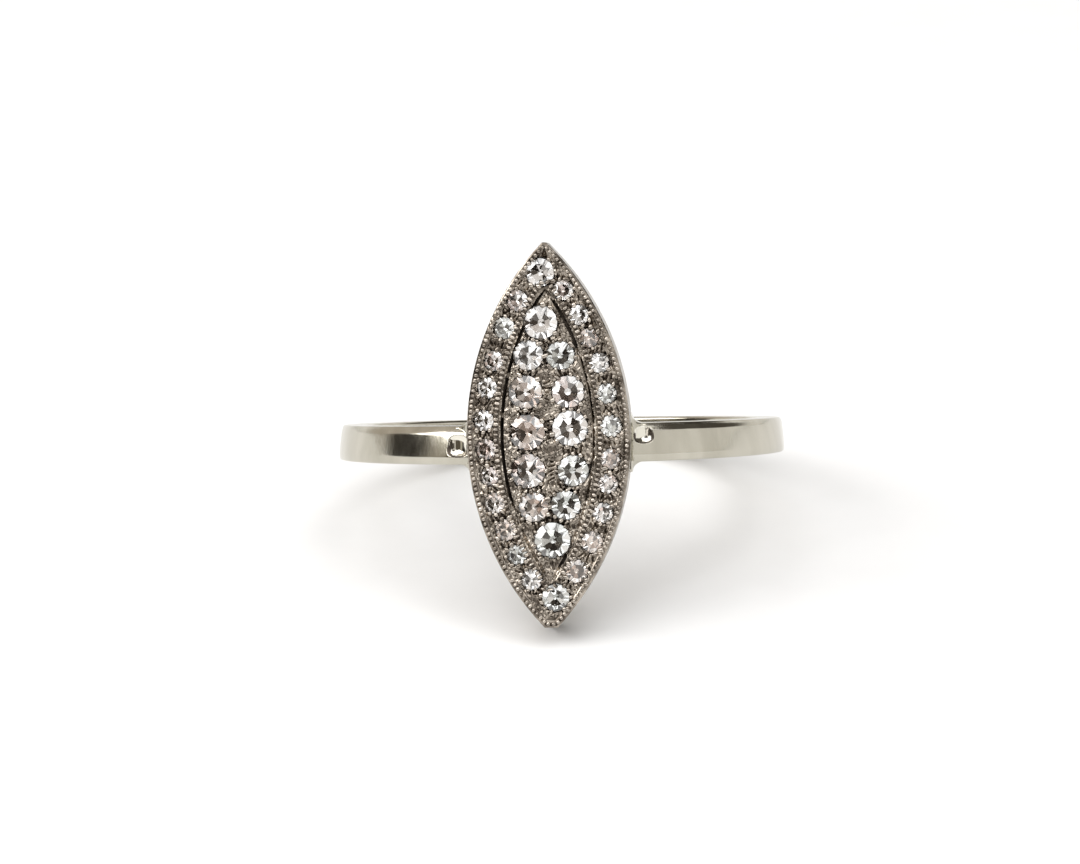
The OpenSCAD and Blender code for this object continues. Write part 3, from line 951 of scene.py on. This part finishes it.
def towards(way, start, full):
    """0 away from a direction, 1 near it, as the dot product goes from start to full."""
    dot = nodes.new("ShaderNodeVectorMath")
    dot.operation = "DOT_PRODUCT"
    dot.inputs[1].default_value = Vector(way).normalized()
    links.new(direction, dot.inputs[0])
    share = nodes.new("ShaderNodeMapRange")
    share.interpolation_type = "SMOOTHSTEP"
    share.inputs["From Min"].default_value = start
    share.inputs["From Max"].default_value = full
    links.new(dot.outputs["Value"], share.inputs["Value"])
    return share.outputs[0]


def blend(share, a, b):
    mix = nodes.new("ShaderNodeMix")
    mix.data_type = "RGBA"
    links.new(share, mix.inputs["Factor"])
    for value, socket in ((a, mix.inputs["A"]), (b, mix.inputs["B"])):
        if isinstance(value, tuple):
            socket.default_value = (*value, 1)
        else:
            links.new(value, socket)
    return mix.outputs["Result"]


def toned(base, patches):
    """The base with patches of plain tone laid over it in turn."""
    for way, start, full, tone in patches:
        base = blend(towards(way, start, full), base, tone)
    return base


# Patches of tone: direction, the dot products where it starts and is full, and the tone
PALE_WALL = (1.0, 0.985, 0.95)
WALL_PATCHES = (
    ((-0.80, -0.56, 0.2), 0.80, 0.92, (0.50, 0.46, 0.39)),
    ((-0.662, -0.71, 0.242), 0.94, 0.974, (0.10, 0.085, 0.065)),
)
CAMERA_SHADE = ((0.05, -0.93, 0.33), 0.84, 0.965)
CROWD_TONES = [(0.44, (0.05, 0.042, 0.035)), (0.53, (0.13, 0.11, 0.09)),
               (0.57, (1.1, 1.05, 1.0))]
ABOVE = ((0, 0, 1), 0.38, 0.5)
PANE_TONES = [(0.42, (0.02, 0.016, 0.013)), (0.50, (0.13, 0.12, 0.11)), (0.56, (1, 1, 1))]
PANE_STRENGTH = 1.5
# Scale of each noise: the greater, the more people or panes round the room
CROWD_SCALE = 5.5
PANE_SCALE = 2.6
WORLD_STRENGTH = 0.92
# What the left bevel, the right bevel and the left face of the shank mirror
SHANK_PATCHES = (
    ((-0.80, 0.33, 0.50), 0.84, 0.92, (0.68, 0.62, 0.55)),
    ((0.75, 0.30, 0.588), 0.86, 0.92, (0.10, 0.09, 0.075)),
    ((-0.985, -0.05, 0.155), 0.93, 0.995, (0.02, 0.017, 0.012)),
)

crowd = noise_ramp(nodes, links, CROWD_SCALE, detail=1, stops=CROWD_TONES, vector=direction)
eye_level = toned(PALE_WALL, WALL_PATCHES)
eye_level = blend(towards(*CAMERA_SHADE), eye_level, crowd)
panes = noise_ramp(nodes, links, PANE_SCALE, detail=1, stops=PANE_TONES, vector=direction)
brighter = nodes.new("ShaderNodeVectorMath")
brighter.operation = "SCALE"
brighter.inputs["Scale"].default_value = PANE_STRENGTH
links.new(panes, brighter.inputs[0])
whole = toned(blend(towards(*ABOVE), eye_level, brighter.outputs[0]), SHANK_PATCHES)
links.new(whole, nodes["Background"].inputs["Color"])
nodes["Background"].inputs["Strength"].default_value = WORLD_STRENGTH

# The photograph's angle: above the ring and a little to its right. The camera stands
# DISTANCE metres away and looks at a place AIM millimetres off the middle of the head
YAW, ELEVATION, ROLL = math.radians(3.51), math.radians(22.2), math.radians(-2.35)
DISTANCE = 0.2
AIM = np.array([-0.301, 0, 0.617])
HEAD_MIDDLE = 11.3
LENS = 159.9
back = np.array([math.sin(YAW) * math.cos(ELEVATION), -math.cos(YAW) * math.cos(ELEVATION),
                 math.sin(ELEVATION)])
right = np.cross(-back, [0, 0, 1])
right /= np.linalg.norm(right)
up = np.cross(right, -back)
cam_right = math.cos(ROLL) * right + math.sin(ROLL) * up
cam_up = -math.sin(ROLL) * right + math.cos(ROLL) * up
target = to_world([[0, 0, HEAD_MIDDLE]])[0] + MM * AIM
camera_data = bpy.data.cameras.new("camera")
camera_data.lens = LENS
camera_data.sensor_width = 36
camera_data.clip_start = 0.01
camera_data.clip_end = 10
camera = bpy.data.objects.new("camera", camera_data)
camera.matrix_world = Matrix.Translation(Vector(target + DISTANCE * back)) @ Matrix(
    [[*row] for row in np.stack([cam_right, cam_up, back], 1)]).to_4x4()
bpy.context.scene.collection.objects.link(camera)
bpy.context.scene.camera = camera
bpy.context.scene.view_settings.view_transform = "Standard"
bpy.context.scene.view_settings.look = "None"
bpy.context.scene.view_settings.exposure = 0.07
